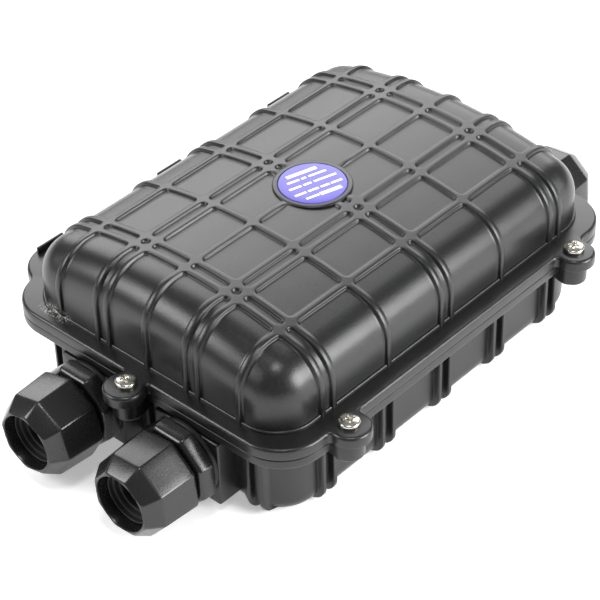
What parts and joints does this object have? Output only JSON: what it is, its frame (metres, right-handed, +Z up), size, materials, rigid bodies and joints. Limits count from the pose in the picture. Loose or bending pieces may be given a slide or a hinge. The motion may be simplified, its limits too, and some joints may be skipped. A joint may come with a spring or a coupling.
{
  "type": "fibre splice closure",
  "caption": "Flat ribbed two-shell splice closure with a bolted domed lid, eight-sided cable glands at both ends and splice trays inside.",
  "frame": {"origin": "centre of the flat underside of the base", "axes": "+Z up through the lid, +Y along the closure from the front glands to the rear glands, +X to the right of someone facing the front glands"},
  "size_m": [0.1916, 0.299, 0.086],
  "materials": {
    "shell": "black moulded polypropylene with a fine grain, semi-gloss",
    "gasket": "soft moulded rubber",
    "screw": "bright nickel-plated steel",
    "brass": "turned brass",
    "label": "blue-violet printed film with plain white bars",
    "seal": "matt black rubber",
    "gland": "black moulded nylon, semi-gloss",
    "tray": "light moulded plastic",
    "holder": "dark blue moulded plastic",
    "cover": "clear plastic sheet",
    "small_screw": "zinc-plated steel",
    "clamp": "black glass-filled nylon"
  },
  "bodies": {
    "base": {"base_shell": "shell", "lid_gasket": "gasket", "screw_inserts": "brass", "gland_washer_front_left": "seal", "gland_body_front_left": "gland", "gland_seal_front_left": "seal", "gland_lock_nut_front_left": "gland", "gland_washer_front_right": "seal", "gland_body_front_right": "gland", "gland_seal_front_right": "seal", "gland_lock_nut_front_right": "gland", "gland_washer_rear_left": "seal", "gland_body_rear_left": "gland", "gland_seal_rear_left": "seal", "gland_lock_nut_rear_left": "gland", "gland_washer_rear_right": "seal", "gland_body_rear_right": "gland", "gland_seal_rear_right": "seal", "gland_lock_nut_rear_right": "gland", "tray_posts": "brass", "splice_tray_lower": "tray", "splice_tray_upper": "tray", "splice_holder_lower": "holder", "splice_holder_upper": "holder", "tray_cover": "cover", "tray_screws": "small_screw", "clamp_saddle_front_left": "clamp", "clamp_strap_front_left": "clamp", "clamp_saddle_front_right": "clamp", "clamp_strap_front_right": "clamp", "clamp_saddle_rear_left": "clamp", "clamp_strap_rear_left": "clamp", "clamp_saddle_rear_right": "clamp", "clamp_strap_rear_right": "clamp", "clamp_screws": "small_screw"},
    "lid": {"lid_shell": "shell", "lid_screws": "screw", "label_disc": "label"},
    "cap_nut_front_left": {"gland_cap_nut_front_left": "gland"},
    "cap_nut_front_right": {"gland_cap_nut_front_right": "gland"},
    "cap_nut_rear_left": {"gland_cap_nut_rear_left": "gland"},
    "cap_nut_rear_right": {"gland_cap_nut_rear_right": "gland"}
  },
  "joints": [
    {"name": "lid_lift", "type": "slide", "parent": "base", "child": "lid", "axis": [0, 0, 1], "range_m": [0, 0.09]},
    {"name": "cap_nut_front_left_turn", "type": "hinge", "parent": "base", "child": "cap_nut_front_left", "pos_m": [-0.028, -0.13, 0.0217], "axis": [0, -1, 0], "continuous": true},
    {"name": "cap_nut_front_right_turn", "type": "hinge", "parent": "base", "child": "cap_nut_front_right", "pos_m": [0.028, -0.13, 0.0217], "axis": [0, -1, 0], "continuous": true},
    {"name": "cap_nut_rear_left_turn", "type": "hinge", "parent": "base", "child": "cap_nut_rear_left", "pos_m": [-0.028, 0.13, 0.0217], "axis": [0, 1, 0], "continuous": true},
    {"name": "cap_nut_rear_right_turn", "type": "hinge", "parent": "base", "child": "cap_nut_rear_right", "pos_m": [0.028, 0.13, 0.0217], "axis": [0, 1, 0], "continuous": true}
  ]
}
